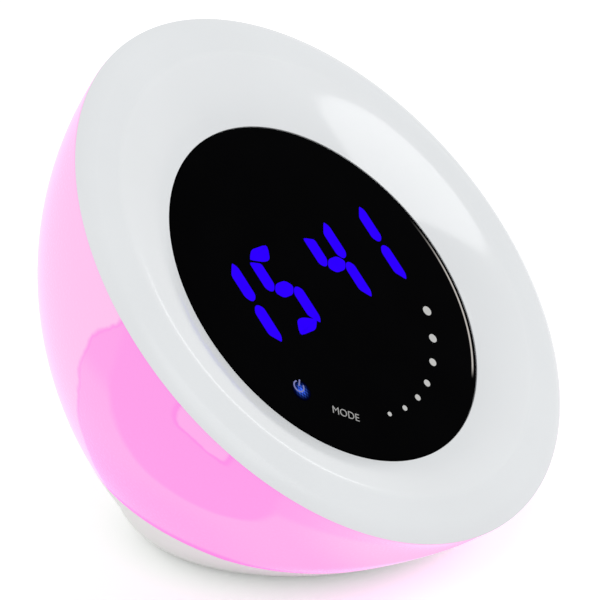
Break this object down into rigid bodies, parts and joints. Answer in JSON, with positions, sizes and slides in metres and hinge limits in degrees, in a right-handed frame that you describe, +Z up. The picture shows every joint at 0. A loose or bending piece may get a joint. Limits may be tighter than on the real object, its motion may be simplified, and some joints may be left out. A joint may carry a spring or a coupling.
{
  "type": "mood lamp alarm clock",
  "caption": "Translucent glowing bowl lamp with a tilted dished white face, a round dark clock display with lit digits, touch marks, and a pale base with a twist battery door.",
  "frame": {"origin": "on the table plane, under the middle of the object's outline seen from above", "axes": "+Z up, -Y towards the user, the way the tilted face looks, +X to the user's right"},
  "size_m": [0.13, 0.1064, 0.1076],
  "materials": {
    "lit_dome": "translucent satin, lit pink from inside",
    "white_gloss": "smooth gloss white",
    "pale_base": "fine satin pale grey",
    "dark_lens": "polished smoked black",
    "black_film": "matt black film",
    "board_green": "solder mask green",
    "board_white": "solder mask white",
    "white_plastic": "matt white moulding",
    "dark_plastic": "matt black moulding",
    "blue_light": "blue lit diffuser",
    "chip_white": "small white light package",
    "clear_pipe": "clear moulded pipe",
    "screw_steel": "plated steel",
    "can_aluminium": "bare aluminium can",
    "ribbon_grey": "grey ribbon sheath",
    "soft_rubber": "soft dark rubber",
    "magnet_iron": "plain magnet",
    "cone_black": "pressed paper cone",
    "contact_brass": "bright brass",
    "cell_steel": "bright steel can"
  },
  "bodies": {
    "clock": {"dome_diffuser": "lit_dome", "face_bezel": "white_gloss", "base_cap": "pale_base", "display_lens": "dark_lens", "lens_tape": "black_film", "display_mask": "black_film", "touch_board": "board_green", "digit_housing": "white_plastic", "digit_segments": "blue_light", "digit_lights": "chip_white", "icon_light": "chip_white", "icon_light_pipe": "clear_pipe", "display_board": "board_green", "display_chassis": "dark_plastic", "chassis_screws": "screw_steel", "display_connector": "dark_plastic", "light_tray": "white_plastic", "light_ring_board": "board_white", "colour_lights": "chip_white", "ring_screws": "screw_steel", "main_board": "board_green", "board_screws": "screw_steel", "control_chip": "dark_plastic", "filter_capacitors": "can_aluminium", "clock_crystal": "can_aluminium", "main_connector": "dark_plastic", "light_header": "dark_plastic", "ribbon_cable": "ribbon_grey", "speaker_gasket": "soft_rubber", "speaker_basket": "screw_steel", "speaker_magnet": "magnet_iron", "speaker_cone": "cone_black", "speaker_terminals": "contact_brass", "backup_cell": "cell_steel", "cell_top_contact": "contact_brass", "cell_side_contact": "contact_brass", "power_inlet": "dark_plastic", "inlet_pin": "contact_brass", "base_screws": "screw_steel", "rubber_feet": "soft_rubber"},
    "door": {"battery_door": "pale_base"}
  },
  "joints": [
    {"name": "battery_door_turn", "type": "hinge", "parent": "clock", "child": "door", "pos_m": [0.014, 0, 0.0006], "axis": [0, 0, 1], "range_deg": [0, 45]}
  ]
}
